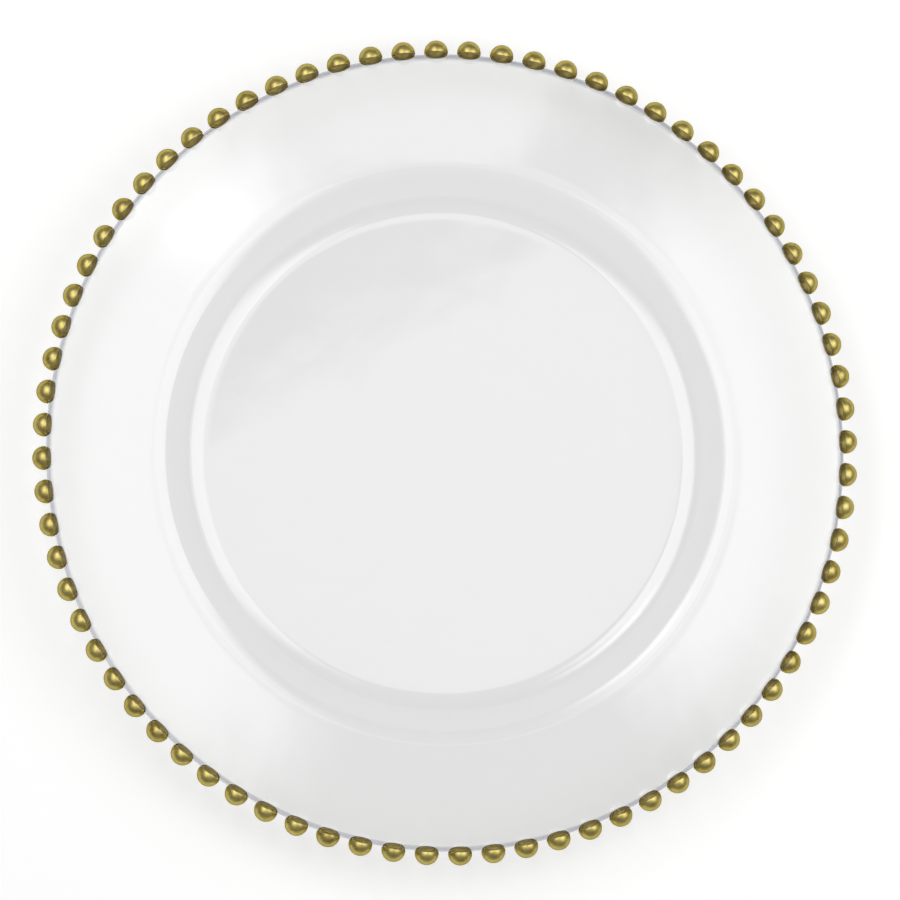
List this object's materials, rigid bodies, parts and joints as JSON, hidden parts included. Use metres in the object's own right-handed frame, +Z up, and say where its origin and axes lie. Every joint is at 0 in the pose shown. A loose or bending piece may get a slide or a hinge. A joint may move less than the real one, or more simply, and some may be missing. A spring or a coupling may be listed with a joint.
{
  "type": "charger plate",
  "caption": "Round clear glass charger plate with a flat shallow well, a broad sloping rim and a ring of gilded glass beads round the edge.",
  "frame": {"origin": "centre of the flat base, on the plane that the plate stands on", "axes": "+Z up out of the well, +X through the middle of the first bead, plate lying flat"},
  "size_m": [0.33, 0.33, 0.025],
  "materials": {
    "clear_glass": "clear pressed glass, fire polished",
    "fired_gold": "antique gold lustre, satin, darker in the hollows"
  },
  "bodies": {
    "root": {"glass_plate": "clear_glass", "gold_bead_caps_01": "fired_gold", "gold_bead_caps_02": "fired_gold", "gold_bead_caps_03": "fired_gold", "gold_bead_caps_04": "fired_gold", "gold_bead_caps_05": "fired_gold", "gold_bead_caps_06": "fired_gold", "gold_bead_caps_07": "fired_gold", "gold_bead_caps_08": "fired_gold", "gold_bead_caps_09": "fired_gold", "gold_bead_caps_10": "fired_gold", "gold_bead_caps_11": "fired_gold", "gold_bead_caps_12": "fired_gold", "gold_bead_caps_13": "fired_gold", "gold_bead_caps_14": "fired_gold", "gold_bead_caps_15": "fired_gold", "gold_bead_caps_16": "fired_gold", "gold_bead_caps_17": "fired_gold", "gold_bead_caps_18": "fired_gold", "gold_bead_caps_19": "fired_gold", "gold_bead_caps_20": "fired_gold", "gold_bead_caps_21": "fired_gold", "gold_bead_caps_22": "fired_gold", "gold_bead_caps_23": "fired_gold", "gold_bead_caps_24": "fired_gold", "gold_bead_caps_25": "fired_gold", "gold_bead_caps_26": "fired_gold", "gold_bead_caps_27": "fired_gold", "gold_bead_caps_28": "fired_gold", "gold_bead_caps_29": "fired_gold", "gold_bead_caps_30": "fired_gold", "gold_bead_caps_31": "fired_gold", "gold_bead_caps_32": "fired_gold", "gold_bead_caps_33": "fired_gold", "gold_bead_caps_34": "fired_gold", "gold_bead_caps_35": "fired_gold", "gold_bead_caps_36": "fired_gold", "gold_bead_caps_37": "fired_gold", "gold_bead_caps_38": "fired_gold"}
  },
  "joints": []
}
